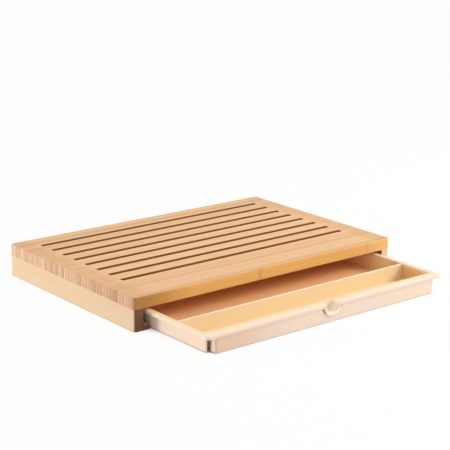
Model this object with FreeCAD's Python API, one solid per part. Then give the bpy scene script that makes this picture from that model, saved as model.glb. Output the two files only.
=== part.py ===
import FreeCAD, Part
import math
import os
from FreeCAD import Vector

# Bread board with a crumb tray that slides out at the front.
# Millimetres. +Z is up and z = 0 is the table. +X runs along the board's length, from left to right.
# The tray comes out towards -Y. The origin is the middle of the whole footprint, tray pulled out as shown.

# Board, over all
LENGTH = 400.0
DEPTH = 262.0
TOP_THICK = 14.0
RAIL_HEIGHT = 26.0
CORNER_R = 4.0
EDGE_EASE = 1.0

# Top: bamboo staves glued edge to edge, one slot routed down the middle of each slotted stave
SLOT_COUNT = 8
SLOT_PITCH = 24.25
SLOT_WIDTH = 6.0
SLOT_MARGIN = 26.5
SLOT_EASE = 0.5
FIRST_SLOT_FROM_BACK = 30.3
FRONT_STAVES = 2

# Base: three rails under the top, open at the front, with a lip along the foot of each side rail
RAIL_WIDTH = 13.0
LIP_REACH = 7.0
LIP_THICK = 6.0

# Tray: clearances in the board, then its own sizes
TRAY_OUT = 106.0
TRAY_SIDE_GAP = 4.8
TRAY_BACK_GAP = 3.0
TRAY_HEIGHT = 22.0
FLANGE_THICK = 2.0
FLANGE_CORNER_R = 5.0
FLANGE_EASE = 0.7
FLANGE_DROP = 1.7
FLANGE_EDGE = 1.8
RIM_SIDE = 7.2
RIM_FRONT = 13.0
RIM_BACK = 9.0
WALL = 1.8
WALL_DRAFT = 0.6
FRONT_WALL_LEAN = 7.0
BASIN_CORNER_R = 3.0
FLOOR = 1.8
FLOOR_FILLET = 2.5
OUTSIDE_FOOT_R = 1.5
FOOT_HEIGHT = 0.6
FOOT_WIDTH = 2.5
FOOT_INSET = 6.0
FOOT_CORNER_R = 6.0
DIVIDER_FROM_FRONT = 60.7
DIVIDER_TOP = 2.4
DIVIDER_FOOT = 3.6
DIVIDER_BELOW_RIM = 0.5
DIVIDER_EASE = 0.8

# Tray front: a plate that hangs from the flange, hollow behind, with its ends turned back
PLATE_THICK = 2.0
PLATE_FOOT_GAP = 0.5
PLATE_SIDE_INSET = 11.7
PLATE_SETBACK = 1.2
PLATE_RETURN = 8.9
PLATE_END_R = 4.5
PLATE_FOOT_R = 2.5
PLATE_LEAN = 0.6

# Side walls run on past the front wall, and end in an upright slot beside the plate
SIDE_WALL_FRONT = 9.6

# Finger scoop: a half-round trough that bridges the hollow and comes out through an opening in the plate,
# which is wider than the trough at the flange and closes on it further down
SCOOP_R = 9.3
SCOOP_WALL = 3.9
SCOOP_PROUD = 0.5
SCOOP_SLIT = 2.6
SCOOP_BITE = 0.6
SCOOP_LIP_R = 1.4

# Worked out from the sizes above
HEIGHT = RAIL_HEIGHT + TOP_THICK
FRONT_Y = -(DEPTH - TRAY_OUT - SCOOP_PROUD) / 2
BACK_Y = FRONT_Y + DEPTH
HALF = LENGTH / 2
INNER_HALF = HALF - RAIL_WIDTH
BACK_RAIL_Y = BACK_Y - RAIL_WIDTH
FLANGE_HALF = INNER_HALF - TRAY_SIDE_GAP
TRAY_DEPTH = DEPTH - RAIL_WIDTH - TRAY_BACK_GAP
TRAY_FRONT_Y = FRONT_Y - TRAY_OUT
BASIN_HALF = FLANGE_HALF - RIM_SIDE
PLATE_HALF = FLANGE_HALF - PLATE_SIDE_INSET
PLATE_HEIGHT = TRAY_HEIGHT - PLATE_FOOT_GAP
SCOOP_OUTER_R = SCOOP_R + SCOOP_WALL
# How far in the middle of a quarter round lies, as a share of its radius
MID_ARC = 1 - math.cos(math.radians(45))
PAST = 1.0
NEARLY = 0.0001
ALMOST_FULL = 0.999


def block(x0, x1, y0, y1, z0, z1):
    """A plain block between two corners."""
    return Part.makeBox(x1 - x0, y1 - y0, z1 - z0, Vector(x0, y0, z0))


def rounded_rectangle(x0, x1, y0, y1, r, z):
    """A level rectangular wire with round corners."""
    k = r * MID_ARC
    corners = [
        (Vector(x1 - r, y0, z), Vector(x1 - k, y0 + k, z), Vector(x1, y0 + r, z)),
        (Vector(x1, y1 - r, z), Vector(x1 - k, y1 - k, z), Vector(x1 - r, y1, z)),
        (Vector(x0 + r, y1, z), Vector(x0 + k, y1 - k, z), Vector(x0, y1 - r, z)),
        (Vector(x0, y0 + r, z), Vector(x0 + k, y0 + k, z), Vector(x0 + r, y0, z)),
    ]
    edges = []
    for i, (start, middle, end) in enumerate(corners):
        edges.append(Part.Arc(start, middle, end).toShape())
        edges.append(Part.makeLine(end, corners[(i + 1) % 4][0]))
    return Part.Wire(edges)


def upright(wire, height):
    """The wire's face, drawn up by the height."""
    return Part.Face(wire).extrude(Vector(0, 0, height))


def flat_edges(shape, z, keep=lambda edge: True):
    """The edges that lie level at one height."""
    found = []
    for edge in shape.Edges:
        box = edge.BoundBox
        if abs(box.ZMin - z) < NEARLY and abs(box.ZMax - z) < NEARLY and keep(edge):
            found.append(edge)
    return found


def board_blank():
    """The whole board as one block, with its upright corners round and its rims eased."""
    outline = rounded_rectangle(-HALF, HALF, FRONT_Y, BACK_Y, CORNER_R, 0)
    blank = upright(outline, HEIGHT)
    blank = blank.makeFillet(EDGE_EASE, flat_edges(blank, HEIGHT))
    return blank.makeFillet(EDGE_EASE / 2, flat_edges(blank, 0))


def slot_cutter(y):
    """One long slot with round ends, cut right through the top."""
    x = HALF - SLOT_MARGIN
    r = SLOT_WIDTH / 2
    outline = rounded_rectangle(-x, x, y - r, y + r, r * ALMOST_FULL, RAIL_HEIGHT - PAST)
    return upright(outline, TOP_THICK + 2 * PAST)


def slot_mouth(stave, y):
    """The upper edges of a stave's slot."""
    reach = SLOT_WIDTH / 2 + PAST
    inside = HALF - SLOT_MARGIN + PAST

    def at_slot(edge):
        middle = edge.CenterOfMass
        return abs(middle.y - y) < reach and abs(middle.x) < inside

    return flat_edges(stave, HEIGHT, at_slot)


def stave_widths():
    """Widths of the staves from the back of the board to the front."""
    back = FIRST_SLOT_FROM_BACK - SLOT_PITCH / 2
    front = DEPTH - back - SLOT_COUNT * SLOT_PITCH
    return [back] + [SLOT_PITCH] * SLOT_COUNT + [front / FRONT_STAVES] * FRONT_STAVES


def top_staves(blank):
    """The staves of the top, each with its own slot where it has one."""
    staves = {}
    y1 = BACK_Y
    for i, width in enumerate(stave_widths()):
        y0 = y1 - width
        stave = blank.common(block(-HALF, HALF, y0, y1, RAIL_HEIGHT, HEIGHT))
        if 1 <= i <= SLOT_COUNT:
            middle = y1 - width / 2
            stave = stave.cut(slot_cutter(middle))
            stave = stave.makeFillet(SLOT_EASE, slot_mouth(stave, middle))
        staves["top_stave_%02d" % (i + 1)] = stave
        y1 = y0
    return staves


def base_rails(blank):
    """Side rails from front to back, the back rail between them, and the two lips."""
    rails = {
        "left_rail": (-HALF, -INNER_HALF, FRONT_Y, BACK_Y, RAIL_HEIGHT),
        "right_rail": (INNER_HALF, HALF, FRONT_Y, BACK_Y, RAIL_HEIGHT),
        "back_rail": (-INNER_HALF, INNER_HALF, BACK_RAIL_Y, BACK_Y, RAIL_HEIGHT),
        "left_lip": (-INNER_HALF, -INNER_HALF + LIP_REACH, FRONT_Y, BACK_RAIL_Y, LIP_THICK),
        "right_lip": (INNER_HALF - LIP_REACH, INNER_HALF, FRONT_Y, BACK_RAIL_Y, LIP_THICK),
    }
    return {name: blank.common(block(x0, x1, y0, y1, 0, z1)) for name, (x0, x1, y0, y1, z1) in rails.items()}


# The tray is drawn with y = 0 at its front face and z = 0 at the top of its flange.


def front_wall_y(z, grow):
    """Where the leaning front wall's inner face stands at a height, or its outer face where grow is the wall."""
    return RIM_FRONT - grow + FRONT_WALL_LEAN * -z / TRAY_HEIGHT


def drafted(grow, z_top, z_bottom, y_top, y_bottom, corner_r):
    """A block that narrows towards its foot, from the front positions given to the tray's back."""
    outlines = []
    for z, y in ((z_top, y_top), (z_bottom, y_bottom)):
        inset = WALL_DRAFT * -z / TRAY_HEIGHT - grow
        back = TRAY_DEPTH - RIM_BACK - inset
        outlines.append(rounded_rectangle(-BASIN_HALF + inset, BASIN_HALF - inset, y, back, corner_r, z))
    return Part.makeLoft(outlines, True, True)


def basin(grow, z_top, z_bottom):
    """The tray's hollow, with round corners and a round foot."""
    solid = drafted(
        grow, z_top, z_bottom, front_wall_y(z_top, grow), front_wall_y(z_bottom, grow), BASIN_CORNER_R
    )
    return solid.makeFillet(FLOOR_FILLET, flat_edges(solid, z_bottom))


def outside(z_bottom):
    """The tray's outside below the flange, before the hollow behind its front plate is taken out."""
    z_top = -FLANGE_THICK / 2
    solid = drafted(WALL, z_top, z_bottom, SIDE_WALL_FRONT, SIDE_WALL_FRONT, WALL)
    return solid.makeFillet(OUTSIDE_FOOT_R, flat_edges(solid, z_bottom))


def in_front_of_wall(half_width, grow, z_top):
    """Everything in front of the leaning front wall, as one block across the tray."""
    low = -TRAY_HEIGHT - PAST
    section = [
        Vector(-half_width, -SCOOP_PROUD - PAST, z_top),
        Vector(-half_width, front_wall_y(z_top, grow), z_top),
        Vector(-half_width, front_wall_y(low, grow), low),
        Vector(-half_width, -SCOOP_PROUD - PAST, low),
    ]
    return Part.Face(Part.makePolygon(section + section[:1])).extrude(Vector(2 * half_width, 0, 0))


def flange():
    """The flat rim all round the tray, with its edge turned down."""
    low = -FLANGE_THICK - FLANGE_DROP
    outline = rounded_rectangle(-FLANGE_HALF, FLANGE_HALF, 0, TRAY_DEPTH, FLANGE_CORNER_R, low)
    plate = upright(outline, -low)
    plate = plate.makeFillet(FLANGE_EASE, flat_edges(plate, 0))
    inside = rounded_rectangle(
        -FLANGE_HALF + FLANGE_EDGE,
        FLANGE_HALF - FLANGE_EDGE,
        FLANGE_EDGE,
        TRAY_DEPTH - FLANGE_EDGE,
        FLANGE_CORNER_R - FLANGE_EDGE,
        low - PAST,
    )
    return plate.cut(upright(inside, FLANGE_DROP + PAST))


def foot_ring(z_floor):
    """The low rib under the floor that the tray slides on."""
    rings = []
    for inset in (FOOT_INSET, FOOT_INSET + FOOT_WIDTH):
        outline = rounded_rectangle(
            -BASIN_HALF + inset,
            BASIN_HALF - inset,
            RIM_FRONT + FRONT_WALL_LEAN + inset,
            TRAY_DEPTH - RIM_BACK - inset,
            FOOT_CORNER_R,
            -TRAY_HEIGHT,
        )
        rings.append(upright(outline, z_floor + TRAY_HEIGHT + FLOOR / 2))
    return rings[0].cut(rings[1])


def divider(z_floor):
    """The upright web across the tray, thicker at its foot."""
    z0 = z_floor + FLOOR / 2
    z1 = -DIVIDER_BELOW_RIM
    section = [
        Vector(-FLANGE_HALF, DIVIDER_FROM_FRONT - DIVIDER_FOOT / 2, z0),
        Vector(-FLANGE_HALF, DIVIDER_FROM_FRONT + DIVIDER_FOOT / 2, z0),
        Vector(-FLANGE_HALF, DIVIDER_FROM_FRONT + DIVIDER_TOP / 2, z1),
        Vector(-FLANGE_HALF, DIVIDER_FROM_FRONT - DIVIDER_TOP / 2, z1),
    ]
    web = Part.Face(Part.makePolygon(section + section[:1])).extrude(Vector(2 * FLANGE_HALF, 0, 0))
    level = z1 - NEARLY
    ridge = [edge for edge in web.Edges if edge.BoundBox.ZMin > level and edge.BoundBox.XLength > FLANGE_HALF]
    return web.makeFillet(DIVIDER_EASE, ridge)


def front_plate():
    """The plate that hangs in front of the hollow, with turned-back ends and round lower corners."""
    shells = []
    for inset in (0, PLATE_THICK):
        outlines = []
        for z, lean in ((0, 0), (-PLATE_HEIGHT - PAST, PLATE_LEAN)):
            outlines.append(
                rounded_rectangle(
                    -PLATE_HALF + inset,
                    PLATE_HALF - inset,
                    PLATE_SETBACK + inset + lean,
                    PLATE_RETURN + PLATE_END_R + PAST,
                    PLATE_END_R - inset,
                    z,
                )
            )
        shells.append(Part.makeLoft(outlines, True, True))
    shell = shells[0].cut(shells[1])
    r = PLATE_FOOT_R
    k = r * MID_ARC
    x = PLATE_HALF
    z0 = -PLATE_HEIGHT
    edges = [
        Part.makeLine(Vector(-x, 0, -FLANGE_THICK / 2), Vector(x, 0, -FLANGE_THICK / 2)),
        Part.makeLine(Vector(x, 0, -FLANGE_THICK / 2), Vector(x, 0, z0 + r)),
        Part.Arc(Vector(x, 0, z0 + r), Vector(x - k, 0, z0 + k), Vector(x - r, 0, z0)).toShape(),
        Part.makeLine(Vector(x - r, 0, z0), Vector(-x + r, 0, z0)),
        Part.Arc(Vector(-x + r, 0, z0), Vector(-x + k, 0, z0 + k), Vector(-x, 0, z0 + r)).toShape(),
        Part.makeLine(Vector(-x, 0, z0 + r), Vector(-x, 0, -FLANGE_THICK / 2)),
    ]
    window = Part.Face(Part.Wire(edges)).extrude(Vector(0, PLATE_RETURN, 0))
    return shell.common(window)


def half_round(r, y0, y1, z_top):
    """A trough-shaped bar along Y: half round below the flange, straight-sided above."""
    z = -FLANGE_THICK
    edges = [
        Part.Arc(Vector(r, y0, z), Vector(0, y0, z - r), Vector(-r, y0, z)).toShape(),
        Part.makeLine(Vector(-r, y0, z), Vector(-r, y0, z_top)),
        Part.makeLine(Vector(-r, y0, z_top), Vector(r, y0, z_top)),
        Part.makeLine(Vector(r, y0, z_top), Vector(r, y0, z)),
    ]
    return Part.Face(Part.Wire(edges)).extrude(Vector(0, y1 - y0, 0))


def scoop_trough():
    """The wall of the finger scoop, from its round lip back to the front wall."""
    y_end = RIM_FRONT + FRONT_WALL_LEAN
    trough = half_round(SCOOP_OUTER_R, -SCOOP_PROUD, y_end, 0)
    trough = trough.cut(half_round(SCOOP_R, -SCOOP_PROUD - PAST, y_end + PAST, PAST))
    at_mouth = -SCOOP_PROUD + NEARLY
    ends = [edge for edge in trough.Edges if edge.BoundBox.YMax < at_mouth]
    mouth = [edge for edge in ends if edge.BoundBox.XLength > SCOOP_R]
    trough = trough.makeFillet(SCOOP_LIP_R, mouth)
    return trough.common(in_front_of_wall(2 * SCOOP_OUTER_R, WALL / 2, PAST))


def scoop_opening():
    """The opening in the plate, wider than the trough at the flange and closing on it further down."""
    x = SCOOP_OUTER_R + SCOOP_SLIT
    z = -FLANGE_THICK - FLANGE_DROP
    foot = Vector(0, -PAST, -FLANGE_THICK - SCOOP_OUTER_R + SCOOP_BITE)
    arc = Part.Arc(Vector(x, -PAST, z), foot, Vector(-x, -PAST, z)).toShape()
    chord = Part.makeLine(Vector(-x, -PAST, z), Vector(x, -PAST, z))
    through = PLATE_SETBACK + PLATE_THICK + PLATE_LEAN + 2 * PAST
    return Part.Face(Part.Wire([arc, chord])).extrude(Vector(0, through, 0))


def crumb_tray():
    """The tray as one moulding, at its place in the board."""
    z_floor = -TRAY_HEIGHT + FOOT_HEIGHT
    body = outside(z_floor).cut(in_front_of_wall(BASIN_HALF - WALL_DRAFT, WALL, 0))
    shell = flange().fuse([body, foot_ring(z_floor)])
    web = divider(z_floor).common(basin(WALL / 2, 0, z_floor))
    tray = shell.cut(basin(0, 0, z_floor + FLOOR)).fuse([web, front_plate()]).cut(scoop_opening())
    notch = half_round(SCOOP_R, -SCOOP_PROUD - PAST, 2 * RIM_FRONT, PAST)
    notch = notch.common(in_front_of_wall(2 * SCOOP_R, WALL, PAST))
    tray = tray.fuse(scoop_trough()).cut(notch).removeSplitter()
    return tray.translated(Vector(0, TRAY_FRONT_Y, TRAY_HEIGHT))


def main():
    blank = board_blank()
    pieces = {}
    pieces.update(top_staves(blank))
    pieces.update(base_rails(blank))
    pieces["tray"] = crumb_tray()
    os.makedirs("parts", exist_ok=True)
    for name, shape in pieces.items():
        solid = shape.Solids[0] if len(shape.Solids) == 1 else shape
        solid.exportStep("parts/%s.step" % name)
        print(name, "solids", len(shape.Solids), "valid", shape.isValid(), "volume %.0f mm3" % shape.Volume)


main()
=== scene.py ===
import math

import bpy
from mathutils import Matrix, Vector


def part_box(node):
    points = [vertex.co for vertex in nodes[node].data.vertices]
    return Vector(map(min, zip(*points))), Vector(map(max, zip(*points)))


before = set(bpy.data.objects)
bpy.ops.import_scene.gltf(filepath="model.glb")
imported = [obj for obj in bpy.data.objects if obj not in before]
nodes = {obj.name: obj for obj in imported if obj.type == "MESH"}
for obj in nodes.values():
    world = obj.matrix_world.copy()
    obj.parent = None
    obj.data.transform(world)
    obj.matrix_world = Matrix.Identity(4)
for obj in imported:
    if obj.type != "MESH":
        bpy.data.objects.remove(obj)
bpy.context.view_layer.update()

# Metres. +Z is up, +X runs along the board, and the tray comes out towards -Y.


def span(node, axis):
    """Where a piece of the model starts and ends along x, y or z, to the nearest micrometre."""
    low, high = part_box(node)
    return round(getattr(low, axis), 6), round(getattr(high, axis), 6)


# The top: its slots, and the strips that each stave is laminated from
BACK_Y = span("back_rail", "y")[1]
STAVE_FRONT_Y, STAVE_BACK_Y = span("top_stave_02", "y")
SLOT_PITCH = STAVE_BACK_Y - STAVE_FRONT_Y
FIRST_SLOT_Y = (STAVE_FRONT_Y + STAVE_BACK_Y) / 2
SLOT_COUNT = 8
SLOT_HALF_WIDTH = 0.003
SLOT_HALF_LENGTH = 0.1735
SLOT_EASE = 0.0006
# Where the painted shade line along each slot's mouth starts and ends, from the slot's middle
MOUTH_SHADE_LINE = (SLOT_HALF_WIDTH + 0.0004, SLOT_HALF_WIDTH + 0.0014)
STRIP = SLOT_PITCH / 4
GLUE_LINE = (0.478, 0.5)
END_MARGIN = (0.168, 0.186)

# The top's front and back edges: where each knuckle is and how strong, and where the painted shade
# at the front's left corner begins and is full
EDGE_KNUCKLES = ((-0.0175, 0.35), (0.16, 0.15))
EDGE_KNUCKLE_WIDTH = (0.0008, 0.0052)
CORNER_SHADE = (0.11, 0.198)

# The rails: their layers, the strips in each, and the inner faces, painted dark as shade beside
# the tray, which are found by how far they are from the middle of the board times how squarely
# they look at it
RAIL_LAYER = 0.0131
RAIL_STRIP = 0.0065
SHADED_INNER_FACE = (0.1, 0.15)

# The tray at rest. The rim round the basin is measured from the tray's outer edges.
RIM_SIDE = 0.0065
RIM_FRONT = 0.01335
RIM_BACK = 0.00875
TRAY_FRONT_Y, TRAY_BACK_Y = span("tray", "y")
BASIN_FRONT_Y = TRAY_FRONT_Y + RIM_FRONT
BASIN_BACK_Y = TRAY_BACK_Y - RIM_BACK
BASIN_MIDDLE_Y = (BASIN_FRONT_Y + BASIN_BACK_Y) / 2
BASIN_HALF_DEPTH = (BASIN_BACK_Y - BASIN_FRONT_Y) / 2
BASIN_HALF_WIDTH = span("tray", "x")[1] - RIM_SIDE
RIM_FADE = 0.009
UPPER_WALL = (0.0172, 0.0216)
RIM_TOP = (0.019, 0.0205)
BEHIND_DIVIDER = (-0.121, -0.1)
RIGHT_WALL_X = 0.16
SCOOP_RADIUS = 0.0096
SCOOP_FOOT = 0.0095
SCOOP_BACK_Y = -0.166
PLATE_TOP = 0.018
PLATE_BACK_Y = -0.175
PLATE_SHADE = (0.05, 0.17)
HAIRLINE = 0.0002

# How squarely a face has to look along an axis: from where a finish starts to where it is full
SQUARE_ON = (0.6, 0.8)
ROUND_EDGE = (0.45, 0.65)
LEVEL_TOP = (0.6, 0.97)
RIM_CREST = (0.55, 0.9)
PLATE_FRONT = (0.5, 0.9)


def tone(red, green, blue):
    """A colour as a shader wants it, from the 0 to 255 values that a swatch shows."""
    values = []
    for level in (red, green, blue):
        level = level / 255
        values.append(level / 12.92 if level <= 0.04045 else ((level + 0.055) / 1.055) ** 2.4)
    return (*values, 1.0)


class Value:
    """One number running through a material, which adds and multiplies like any number."""

    def __init__(self, tree, socket):
        self.tree = tree
        self.socket = socket

    def math(self, operation, *others, swapped=False):
        """One Math node, with this value first or, where swapped, last."""
        node = self.tree.nodes.new("ShaderNodeMath")
        node.operation = operation
        terms = [self, *others]
        if swapped:
            terms.reverse()
        for slot, term in zip(node.inputs, terms):
            if isinstance(term, Value):
                self.tree.links.new(term.socket, slot)
            else:
                slot.default_value = term
        return Value(self.tree, node.outputs[0])

    def __add__(self, other):
        return self.math("ADD", other)

    __radd__ = __add__

    def __sub__(self, other):
        return self.math("SUBTRACT", other)

    def __rsub__(self, other):
        return self.math("SUBTRACT", other, swapped=True)

    def __mul__(self, other):
        return self.math("MULTIPLY", other)

    __rmul__ = __mul__

    def __truediv__(self, other):
        return self.math("DIVIDE", other)

    def __neg__(self):
        return self.math("MULTIPLY", -1.0)

    def __abs__(self):
        return self.math("ABSOLUTE")

    def whole(self):
        """The whole number below."""
        return self.math("FLOOR")

    def part(self):
        """What is left over past the whole number below."""
        return self.math("FRACT")

    def over(self, edge):
        """1 where the value is over the edge, and 0 elsewhere."""
        return self.math("GREATER_THAN", edge)

    def under(self, edge):
        """1 where the value is under the edge, and 0 elsewhere."""
        return self.math("LESS_THAN", edge)


class Recipe:
    """A tree of nodes that is being built up."""

    def __init__(self, tree):
        self.tree = tree

    def direct_rays(self):
        """1 for a ray from the camera, a glossy surface or a clear one, and 0 for the rest."""
        rays = self.node("ShaderNodeLightPath")
        mirrored = rays["Is Glossy Ray"].math("MAXIMUM", rays["Is Transmission Ray"])
        return rays["Is Camera Ray"].math("MAXIMUM", mirrored)

    def node(self, kind, settings=None, inputs=None):
        """Adds a node, with its settings first and then the values or links of its sockets."""
        node = self.tree.nodes.new(kind)
        for name, value in (settings or {}).items():
            if name == "stops":
                while len(node.color_ramp.elements) < len(value):
                    node.color_ramp.elements.new(1.0)
                for stop, (position, colour) in zip(node.color_ramp.elements, value):
                    stop.position = position
                    stop.color = colour
            else:
                setattr(node, name, value)
        for name, value in (inputs or {}).items():
            if isinstance(value, Value):
                self.tree.links.new(value.socket, node.inputs[name])
            else:
                node.inputs[name].default_value = value
        outputs = {}
        for index, socket in enumerate(node.outputs):
            outputs[index] = Value(self.tree, socket)
            outputs.setdefault(socket.name, outputs[index])
        return outputs


class Finish(Recipe):
    """A material being mixed, with the short cuts that its recipe is written in."""

    def __init__(self, name):
        self.material = bpy.data.materials.new(name)
        self.material.use_nodes = True
        super().__init__(self.material.node_tree)
        self.shader = self.tree.nodes["Principled BSDF"]
        place = self.node("ShaderNodeTexCoord")["Object"]
        parts = self.node("ShaderNodeSeparateXYZ", inputs={"Vector": place})
        self.x, self.y, self.z = parts["X"], parts["Y"], parts["Z"]
        faces = self.node("ShaderNodeNewGeometry")["Normal"]
        facing = self.node("ShaderNodeSeparateXYZ", inputs={"Vector": faces})
        self.facing_x, self.facing_y, self.facing_z = facing["X"], facing["Y"], facing["Z"]

    def point(self, x, y, z):
        """Three numbers as one place."""
        return self.node("ShaderNodeCombineXYZ", inputs={"X": x, "Y": y, "Z": z})["Vector"]

    def noise(self, place, detail=2.0, roughness=0.5):
        """Soft cloudy noise from 0 to 1 with features about one unit across."""
        inputs = {"Vector": place, "Scale": 1.0, "Detail": detail, "Roughness": roughness}
        return self.node("ShaderNodeTexNoise", inputs=inputs)[0]

    def dice(self, number):
        """A random number from 0 to 1 that stays the same for one whole number."""
        settings = {"noise_dimensions": "1D"}
        return self.node("ShaderNodeTexWhiteNoise", settings, {"W": number})["Value"]

    def step(self, value, low, high):
        """Goes smoothly from 0 at low to 1 at high."""
        settings = {"interpolation_type": "SMOOTHSTEP", "clamp": True}
        inputs = {"Value": value, "From Min": low, "From Max": high}
        return self.node("ShaderNodeMapRange", settings, inputs)[0]

    def outside(self, middle_y, half_x, half_y):
        """How far a point lies outside a rectangle centred on x = 0, seen from above."""
        over_x = (abs(self.x) - half_x).math("MAXIMUM", 0.0)
        over_y = (abs(self.y - middle_y) - half_y).math("MAXIMUM", 0.0)
        return (over_x * over_x + over_y * over_y).math("SQRT")

    def ramp(self, value, stops):
        """The colour that the value meets along a row of (position, colour) stops."""
        return self.node("ShaderNodeValToRGB", {"stops": stops}, {"Fac": value})["Color"]

    def mix(self, share, first, second):
        """The second colour over the first, by share."""
        settings = {"data_type": "RGBA", "clamp_factor": True}
        return self.node("ShaderNodeMix", settings, {0: share, 6: first, 7: second})[2]

    def paint(self, **sockets):
        """Sets the shader's own sockets, by their names with _ for each space."""
        for name, value in sockets.items():
            socket = self.shader.inputs[name.replace("_", " ")]
            if isinstance(value, Value):
                self.tree.links.new(value.socket, socket)
            else:
                socket.default_value = value

    def bump(self, height, distance, strength):
        """Raises the surface by the height, which runs from 0 to 1, times the distance."""
        inputs = {"Strength": strength, "Distance": distance, "Height": height}
        self.paint(Normal=self.node("ShaderNodeBump", inputs=inputs)["Normal"])


# The top's colours
BAMBOO_LIGHT = tone(234, 187, 133)
BAMBOO_MIDDLE = tone(220, 169, 115)
BAMBOO_DARK = tone(199, 140, 83)
BAMBOO_WARM = tone(240, 190, 124)
BETWEEN_SLOTS = tone(244, 194, 138)
GLUE = tone(197, 144, 89)
KNUCKLE = tone(190, 132, 76)
SLOT_BURN_AND_SHADE = tone(134, 76, 24)
EDGE_LIGHT = tone(237, 187, 108)
EDGE_DARK = tone(222, 163, 82)
EDGE_MARK = tone(176, 118, 56)
EDGE_CORNER_SHADE = tone(146, 90, 38)
UNDERSIDE = tone(238, 160, 88)

# The end grain's colours
END_LIGHT = tone(221, 184, 149)
END_MIDDLE = tone(202, 160, 123)
END_DARK = tone(165, 120, 86)
END_DOT = tone(132, 88, 58)
END_GLUE = tone(120, 82, 56)

# The rails' colours
RAIL_LIGHT = tone(223, 194, 160)
RAIL_MIDDLE = tone(218, 187, 151)
RAIL_DARK = tone(210, 175, 135)
RAIL_INSIDE_SHADE = tone(150, 92, 48)
LEFT_FRONT_END_SHADE = tone(94, 50, 14)
RIGHT_FRONT_END_LIT = tone(238, 202, 158)

# The plastic's colours
PEACH_LIGHT = tone(238, 215, 195)
PEACH_DARK = tone(237, 213, 191)
PEACH_SCUFF = tone(236, 217, 204)
BASIN_LIGHT = tone(243, 216, 171)
BASIN_DARK = tone(242, 214, 166)
BASIN_REAR_SHADE = tone(252, 204, 144)
RIGHT_WALL_FRONT_SHADE = tone(232, 182, 120)
RIGHT_WALL_REAR_LIT = tone(255, 222, 168)
RIM_INNER_LIT = tone(248, 214, 168)
RIM_OUTER_LIT = tone(246, 225, 198)
DIVIDER_TOP_HIGHLIGHT = tone(254, 228, 184)
SCOOP_INSIDE_LIT = tone(255, 238, 216)
PLATE_SHADED = tone(224, 188, 160)


def fibres(wood, along, across, up):
    """Fine fibres that run along the grain, as two noises: under and over a millimetre wide."""
    fine = wood.noise(wood.point(along * 14.0, across * 1500.0, up * 1500.0), roughness=0.6)
    broad = wood.noise(wood.point(along * 7.0, across * 380.0, up * 380.0), roughness=0.55)
    return fine, broad


def knuckles(wood, along, number, spacing, width):
    """The faint bands where each strip of bamboo has one of the cane's joints."""
    start = wood.dice(number * 1.37 + 11.0)
    wobble = wood.noise(wood.point(along * 60.0, number * 5.1, 0.0), detail=1.0) * 0.004
    away = abs(((along + wobble) / spacing + start).part() - 0.5) * spacing
    core = 1.0 - wood.step(away, width * 0.2, width)
    halo = 1.0 - wood.step(away, width, width * 3.5)
    return core, halo


def bundle_dots(wood, x, y, z):
    """The dark dots in the end grain, one for each bundle of the cane's fibres."""
    settings = {"feature": "F1"}
    inputs = {"Vector": wood.point(x, y, z), "Scale": 1.0}
    away = wood.node("ShaderNodeTexVoronoi", settings, inputs)["Distance"]
    return 1.0 - wood.step(away, 0.18, 0.42)


def slots(wood):
    """Where the rows of slots are, their routed walls, and a painted shade line along their
    mouths.
    """
    row = (FIRST_SLOT_Y - wood.y) / SLOT_PITCH + 0.5
    from_slot = abs(row.part() - 0.5) * SLOT_PITCH
    in_rows = row.over(0.0) * row.under(SLOT_COUNT)
    level = wood.step(wood.facing_z, *LEVEL_TOP)
    in_slot = from_slot.under(SLOT_HALF_WIDTH + SLOT_EASE) * in_rows
    in_slot = in_slot * abs(wood.x).under(SLOT_HALF_LENGTH + SLOT_EASE)
    mouth_shade = (1.0 - wood.step(from_slot, *MOUTH_SHADE_LINE)) * abs(wood.x).under(SLOT_HALF_LENGTH)
    mouth_shade = mouth_shade * in_rows * level
    return in_rows, in_slot * (1.0 - level), mouth_shade


def long_edge(wood):
    """The smooth faces along the front and back of the top, with painted shade darkening the front
    one towards its left corner.
    """
    fine, broad = fibres(wood, wood.x, wood.z, wood.y)
    marks = []
    for place, strength in EDGE_KNUCKLES:
        away = abs(wood.x + (broad - 0.5) * 0.003 - place)
        marks.append((1.0 - wood.step(away, *EDGE_KNUCKLE_WIDTH)) * strength)
    edge = wood.ramp(broad * 0.6 + fine * 0.3 + 0.05, [(0.2, EDGE_LIGHT), (0.8, EDGE_DARK)])
    edge = wood.mix(marks[0] + marks[1], edge, EDGE_MARK)
    # Painted shade: the front face darkens towards its left end.
    corner_shade = wood.step(-wood.x, *CORNER_SHADE) * wood.y.under(0.0)
    return wood.mix(corner_shade * 0.75, edge, EDGE_CORNER_SHADE)


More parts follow.
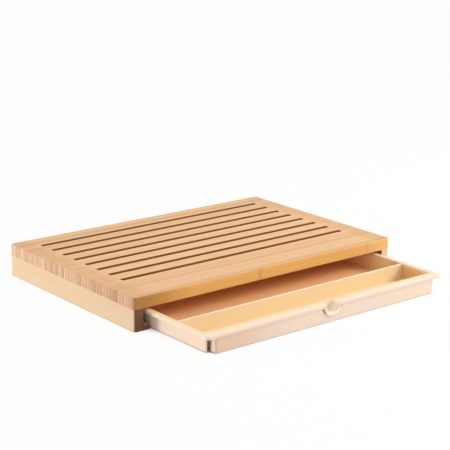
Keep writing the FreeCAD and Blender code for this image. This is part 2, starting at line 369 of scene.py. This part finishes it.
def board_top():
    """Oiled bamboo, laminated from narrow strips on edge, grain along the board."""
    wood = Finish("oiled_bamboo_top")
    strip = (BACK_Y - wood.y) / STRIP
    number = strip.whole()
    inside = strip.part()
    shade = wood.dice(number)
    warm = wood.dice(number + 57.0)
    fine, broad = fibres(wood, wood.x, wood.y, wood.z)
    slow = wood.noise(wood.point(wood.x * 5.0, number * 3.7, 0.0), detail=1.0)
    core, halo = knuckles(wood, wood.x, number, spacing=0.27, width=0.0016)
    glue = wood.step(abs(inside - 0.5), *GLUE_LINE)
    in_rows, routed, mouth_shade = slots(wood)

    depth = shade * 0.7 + slow * 0.25 + broad * 0.35 + fine * 0.12 - 0.2
    face = wood.ramp(depth, [(0.1, BAMBOO_LIGHT), (0.5, BAMBOO_MIDDLE), (0.95, BAMBOO_DARK)])
    face = wood.mix(warm * 0.5, face, BAMBOO_WARM)
    face = wood.mix(in_rows * 0.35, face, BETWEEN_SLOTS)
    face = wood.mix(halo * 0.18, face, BAMBOO_LIGHT)
    face = wood.mix(core * 0.18, face, KNUCKLE)
    face = wood.mix(wood.step(abs(wood.x), *END_MARGIN) * 0.35, face, BAMBOO_DARK)
    face = wood.mix(glue * 0.3, face, GLUE)

    dots = bundle_dots(wood, wood.y * 1250.0, wood.z * 1000.0, wood.x * 4.0)
    stripe = shade * 0.45 + inside * 0.38 + broad * 0.1 + warm * 0.12 - (wood.y - 0.03) * 1.6
    ends = wood.ramp(stripe, [(0.1, END_LIGHT), (0.5, END_MIDDLE), (0.95, END_DARK)])
    ends = wood.mix(dots * (0.2 + inside * 0.3), ends, END_DOT)
    ends = wood.mix(glue * 0.35, ends, END_GLUE)

    end_mask = wood.step(abs(wood.facing_x), *SQUARE_ON)
    colour = wood.mix(wood.step(abs(wood.facing_y), *ROUND_EDGE), face, long_edge(wood))
    colour = wood.mix(wood.step(-wood.facing_z, *SQUARE_ON), colour, UNDERSIDE)
    colour = wood.mix(end_mask, colour, ends)
    # The routed walls are darkened, partly as the router's burn and partly as painted shade in the
    # slots; then a painted shade line along each slot's mouth.
    colour = wood.mix(routed * 0.92, colour, SLOT_BURN_AND_SHADE)
    colour = wood.mix(mouth_shade * 0.7, colour, SLOT_BURN_AND_SHADE)
    wood.paint(
        Base_Color=colour,
        Roughness=0.42 + fine * 0.12 + end_mask * 0.14 + routed * 0.4,
        Coat_Weight=0.08 - routed * 0.08,
        Coat_Roughness=0.35,
    )
    strips = 1.0 - glue * 0.5
    relief = fine * 0.5 + broad * 0.2 + strips * 0.6 - dots * end_mask * 0.5
    wood.bump(relief, distance=0.00012, strength=0.6)
    return wood.material


def base_rail(name, grain):
    """Paler bamboo for the rails and lips, laminated flat, with its grain along x or y."""
    wood = Finish(name)
    along, across = (wood.x, wood.y) if grain == "x" else (wood.y, wood.x)
    number = (wood.z / RAIL_LAYER).whole() + (across / RAIL_STRIP).whole() * 7.0
    shade = wood.dice(number + 3.0)
    fine, broad = fibres(wood, along, across, wood.z)
    slow = wood.noise(wood.point(along * 6.0, wood.z * 90.0, across * 90.0))
    core, halo = knuckles(wood, along, number, spacing=0.31, width=0.0018)
    depth = shade * 0.3 + slow * 0.35 + broad * 0.35 + fine * 0.15 - 0.1
    face = wood.ramp(depth, [(0.1, RAIL_LIGHT), (0.5, RAIL_MIDDLE), (0.95, RAIL_DARK)])
    face = wood.mix(core * 0.12, face, KNUCKLE)
    face = wood.mix(halo * 0.15, face, BAMBOO_LIGHT)

    dots = bundle_dots(wood, across * 1100.0, wood.z * 1100.0, along * 4.0)
    bars = wood.noise(wood.point(across * 420.0, wood.z * 30.0, 0.0))
    stops = [(0.2, END_LIGHT), (0.5, END_MIDDLE), (0.85, END_DARK)]
    ends = wood.ramp(bars * 0.7 + shade * 0.3, stops)
    ends = wood.mix(dots * 0.3, ends, END_DOT)
    # The rails' front ends: painted shade darkens the left one, and painted light brightens the
    # right one.
    at_front = wood.y.under(0.0)
    ends = wood.mix(wood.x.under(0.0) * at_front * 0.9, ends, LEFT_FRONT_END_SHADE)
    ends = wood.mix(wood.x.over(0.0) * at_front * 0.7, ends, RIGHT_FRONT_END_LIT)

    end_mask = wood.step(abs(wood.facing_x if grain == "x" else wood.facing_y), *SQUARE_ON)
    colour = wood.mix(end_mask, face, ends)
    # Painted shade: the rails' inner faces, beside the tray, are painted dark.
    shaded_inner_face = wood.step(-(wood.facing_x * wood.x), *SHADED_INNER_FACE)
    wood.paint(
        Base_Color=wood.mix(shaded_inner_face, colour, RAIL_INSIDE_SHADE),
        Roughness=0.46 + fine * 0.12 + end_mask * 0.14,
        Coat_Weight=0.06,
        Coat_Roughness=0.4,
    )
    relief = fine * 0.5 + broad * 0.3 - dots * end_mask * 0.5
    wood.bump(relief, distance=0.00012, strength=0.6)
    return wood.material


def basin_colour(plastic, clouds):
    """The basin's golden inside, deepened by painted shade behind the divider, with its right wall
    apart: painted shade in front of the divider and painted light behind it.
    """
    rear = plastic.step(plastic.y, *BEHIND_DIVIDER)
    golden = plastic.ramp(clouds, [(0.25, BASIN_LIGHT), (0.75, BASIN_DARK)])
    # Painted shade: the compartment behind the divider, under the board, is deeper in tone.
    golden = plastic.mix(rear, golden, BASIN_REAR_SHADE)
    # The right wall's inner face: painted shade in front of the divider, painted light behind it.
    right_wall = plastic.step(-plastic.facing_x, *SQUARE_ON) * plastic.x.over(RIGHT_WALL_X)
    return plastic.mix(right_wall, golden, plastic.mix(rear, RIGHT_WALL_FRONT_SHADE, RIGHT_WALL_REAR_LIT))


def moulded_plastic():
    """The tray's peach plastic: satin, a little cloudy, with a faint moulded grain."""
    plastic = Finish("peach_plastic")
    x, y, z = plastic.x, plastic.y, plastic.z
    clouds = plastic.noise(plastic.point(x * 9.0, y * 14.0, z * 40.0))
    grain = plastic.noise(plastic.point(x * 1400.0, y * 1400.0, z * 1400.0))
    scuffs = plastic.noise(plastic.point(x * 30.0, y * 420.0, z * 60.0), detail=3.0, roughness=0.6)
    colour = plastic.ramp(clouds, [(0.25, PEACH_LIGHT), (0.75, PEACH_DARK)])
    colour = plastic.mix(plastic.step(scuffs, 0.62, 0.8) * 0.12, colour, PEACH_SCUFF)

    from_basin = plastic.outside(BASIN_MIDDLE_Y, BASIN_HALF_WIDTH, BASIN_HALF_DEPTH)
    in_basin = from_basin.under(HAIRLINE)
    # The golden inside fades out over the top of the walls, paler towards the rim as painted light
    # on its rounded inner edge.
    basin = in_basin * (1.0 - plastic.step(z, *UPPER_WALL))
    colour = plastic.mix(basin, colour, basin_colour(plastic, clouds))

    # Painted light: the rim's upward faces are lightened, golden at the basin's edge and paler
    # outwards, with a painted highlight on the divider's top.
    lit_top = plastic.step(plastic.facing_z, *RIM_CREST) * plastic.step(z, *RIM_TOP)
    rim = plastic.mix(plastic.step(from_basin, 0.0, RIM_FADE), RIM_INNER_LIT, RIM_OUTER_LIT)
    colour = plastic.mix(lit_top, colour, plastic.mix(in_basin, rim, DIVIDER_TOP_HIGHLIGHT))

    # Painted light: the scoop's inside is lightened against its shade.
    scoop = abs(x).under(SCOOP_RADIUS) * z.over(SCOOP_FOOT) * y.under(SCOOP_BACK_Y)
    colour = plastic.mix(scoop * (1.0 - lit_top) * 0.8, colour, SCOOP_INSIDE_LIT)
    plate = plastic.step(-plastic.facing_y, *PLATE_FRONT)
    plate = plate * z.under(PLATE_TOP) * y.under(PLATE_BACK_Y)
    colour = plastic.mix(plate * plastic.step(-x, *PLATE_SHADE) * 0.8, colour, PLATE_SHADED)
    plastic.paint(
        Base_Color=colour,
        Roughness=0.36 + grain * 0.08 + plastic.step(scuffs, 0.55, 0.8) * 0.1,
        Specular_IOR_Level=0.45,
    )
    plastic.bump(grain * 0.6 + clouds * 0.4, distance=0.00005, strength=0.4)
    return plastic.material


def dress_nodes():
    """Gives every node of the model its finish. Any that isn't named here is a stave."""
    top = board_top()
    side = base_rail("bamboo_side_rail", "y")
    finishes = {
        "left_rail": side,
        "right_rail": side,
        "left_lip": side,
        "right_lip": side,
        "back_rail": base_rail("bamboo_back_rail", "x"),
        "tray": moulded_plastic(),
    }
    for name, node in nodes.items():
        node.data.materials.clear()
        node.data.materials.append(finishes.get(name, top))


# The floor is a little under the feet, so that the two never share a face. It turns white
# as the share of open sky within SHELTER over it goes through OPEN_SKY.
FLOOR_SIZE = 14.0
FLOOR_Z = -0.0002
PAPER_DARK = tone(236, 235, 233)
PAPER_LIGHT = tone(240, 239, 237)
SHELTER = 0.05
OPEN_SKY = (0.08, 0.42)
WHITE_SHARE = 0.94
WHITE = (1, 1, 1, 1)


def sheet_of_paper():
    """The floor: white to the camera under an open sky, and shaded where something is over it."""
    bpy.ops.object.select_all(action="DESELECT")
    bpy.ops.mesh.primitive_plane_add(size=FLOOR_SIZE, location=(0, 0, FLOOR_Z))
    floor = bpy.context.object
    floor.name = "floor"
    paper = Finish("white_paper")
    texture = paper.noise(paper.point(paper.x * 40.0, paper.y * 40.0, 0.0))
    paper.paint(Base_Color=paper.mix(texture, PAPER_DARK, PAPER_LIGHT), Roughness=0.9)
    glow = paper.node("ShaderNodeEmission", inputs={"Color": WHITE, "Strength": 1.0})["Emission"]
    lit = Value(paper.tree, paper.shader.outputs["BSDF"])
    sky = paper.node("ShaderNodeAmbientOcclusion", {"samples": 16}, {"Distance": SHELTER})["AO"]
    share = paper.direct_rays() * paper.step(sky, *OPEN_SKY) * WHITE_SHARE
    mixed = paper.node("ShaderNodeMixShader", inputs={0: share, 1: lit, 2: glow})[0]
    paper.tree.links.new(mixed.socket, paper.tree.nodes["Material Output"].inputs["Surface"])
    floor.data.materials.append(paper.material)


# The light of the room, and each lamp's place, width and power in watts
ROOM_LIGHT = 0.74
LAMPS = {
    "window": ((-1.45, 0.75, 0.22), 0.5, 11.5),
    "softbox": ((1.1, -0.9, 0.9), 0.8, 14.0),
}


def white_room():
    """The world. It lights the object at ROOM_LIGHT, but looks white, and mirrors as white."""
    world = bpy.data.worlds.new("studio")
    bpy.context.scene.world = world
    world.use_nodes = True
    world.node_tree.nodes.clear()
    room = Recipe(world.node_tree)
    around = room.node("ShaderNodeBackground", inputs={"Color": WHITE, "Strength": ROOM_LIGHT})[0]
    seen = room.node("ShaderNodeBackground", inputs={"Color": WHITE, "Strength": 1.0})[0]
    shares = {0: room.direct_rays(), 1: around, 2: seen}
    mixed = room.node("ShaderNodeMixShader", inputs=shares)[0]
    room.node("ShaderNodeOutputWorld", inputs={"Surface": mixed})


def lamps():
    """A low lamp on the left that rakes the board's end, and a softbox in front on the right."""
    for name, (place, size, power) in LAMPS.items():
        light = bpy.data.lights.new(name, "AREA")
        light.shape = "DISK"
        light.size = size
        light.energy = power
        lamp = bpy.data.objects.new(name, light)
        bpy.context.scene.collection.objects.link(lamp)
        lamp.location = place
        lamp.rotation_euler = (-Vector(place)).to_track_quat("-Z", "Y").to_euler()


# The photograph's viewpoint, in degrees, metres, pixels and, for the sensor, millimetres
TURN = 39.65
TILT = 15.64
ROLL = 0.91
EYE = (-1.0064, -1.2044, 0.5118)
FOCAL_PIXELS = 1336.1
FRAME_PIXELS = 450
SENSOR_WIDTH = 36.0


def camera():
    """The photograph's viewpoint: in front on the left, a little above."""
    turn, tilt, roll = math.radians(TURN), math.radians(TILT), math.radians(ROLL)
    level_ahead = Vector((math.sin(turn), math.cos(turn), 0.0))
    ahead = level_ahead * math.cos(tilt) - Vector((0, 0, math.sin(tilt)))
    level = ahead.cross(Vector((0, 0, 1))).normalized()
    upright = level.cross(ahead)
    right = level * math.cos(roll) + upright * math.sin(roll)
    up = upright * math.cos(roll) - level * math.sin(roll)
    data = bpy.data.cameras.new("camera")
    data.sensor_width = SENSOR_WIDTH
    data.lens = FOCAL_PIXELS / FRAME_PIXELS * SENSOR_WIDTH
    eye = bpy.data.objects.new("camera", data)
    bpy.context.scene.collection.objects.link(eye)
    columns = Matrix((right, up, -ahead)).transposed().to_4x4()
    eye.matrix_world = Matrix.Translation(EYE) @ columns
    bpy.context.scene.camera = eye


dress_nodes()
sheet_of_paper()
white_room()
lamps()
camera()
bpy.context.scene.view_settings.view_transform = "Standard"
